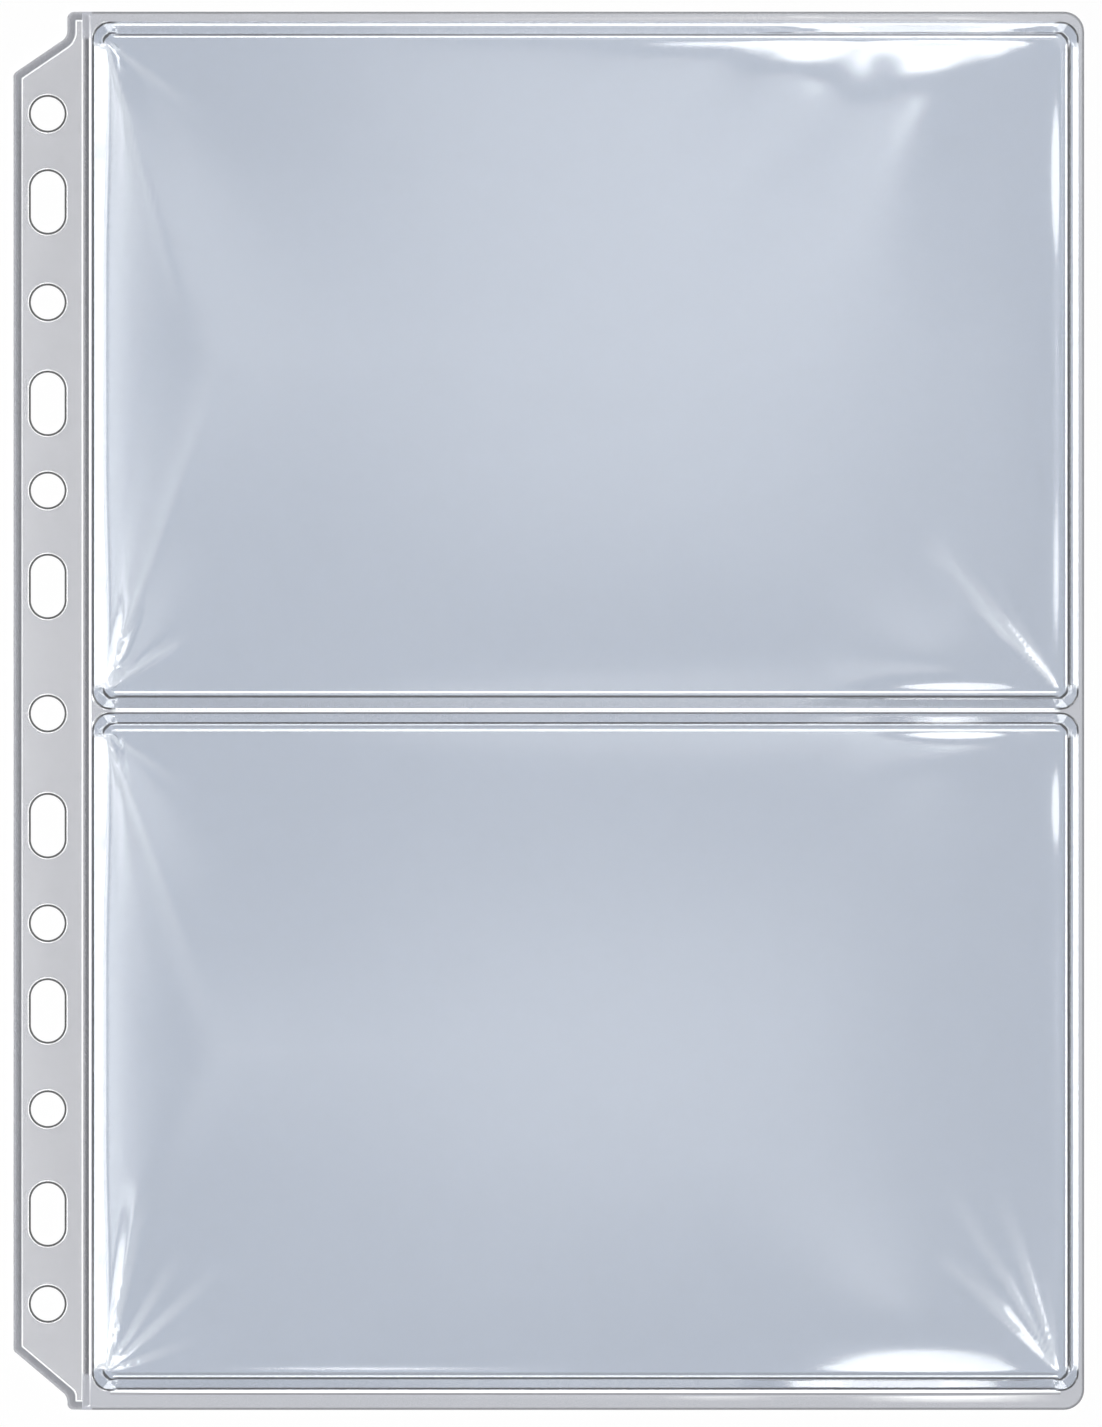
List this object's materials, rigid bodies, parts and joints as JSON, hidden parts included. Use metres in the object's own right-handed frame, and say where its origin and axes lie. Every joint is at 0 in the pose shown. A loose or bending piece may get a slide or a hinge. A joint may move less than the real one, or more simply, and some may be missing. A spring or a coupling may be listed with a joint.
{
  "type": "banknote album page",
  "caption": "Clear welded album page with wide banknote pockets and a punched binding strip that folds along a crease.",
  "frame": {"origin": "under the middle of the page, on the face it lies on", "axes": "+X from the binding strip to the free edge, +Y to the top of the page, +Z out of its front"},
  "size_m": [0.193, 0.252, 0.0023],
  "materials": {
    "pocket_film": "clear soft film, glossy",
    "back_film": "clear soft film, glossy",
    "strip_film": "clear doubled film, satin",
    "weld": "pressed clear film, glossy"
  },
  "bodies": {
    "binding_strip": {"strip_back_film": "strip_film", "strip_front_film": "strip_film", "strip_edge_weld": "weld", "crease_web": "weld"},
    "pocket_panel": {"back_film": "back_film", "upper_pocket_weld": "weld", "lower_pocket_weld": "weld"},
    "upper_front": {"upper_front_film": "pocket_film"},
    "lower_front": {"lower_front_film": "pocket_film"}
  },
  "joints": [
    {"name": "page_turn", "type": "hinge", "parent": "binding_strip", "child": "pocket_panel", "pos_m": [-0.0832, 0, 0.00009], "axis": [0, -1, 0], "range_deg": [0, 90], "deforming": ["crease_web"]},
    {"name": "upper_mouth", "type": "hinge", "parent": "pocket_panel", "child": "upper_front", "pos_m": [0.0955, 0.0622, 0.00074], "axis": [0, 1, 0], "range_deg": [0, 3.2], "stiffness_Nm_per_rad": 0.01},
    {"name": "lower_mouth", "type": "hinge", "parent": "pocket_panel", "child": "lower_front", "pos_m": [0.0955, -0.06145, 0.00074], "axis": [0, 1, 0], "range_deg": [0, 3.2], "stiffness_Nm_per_rad": 0.01}
  ]
}
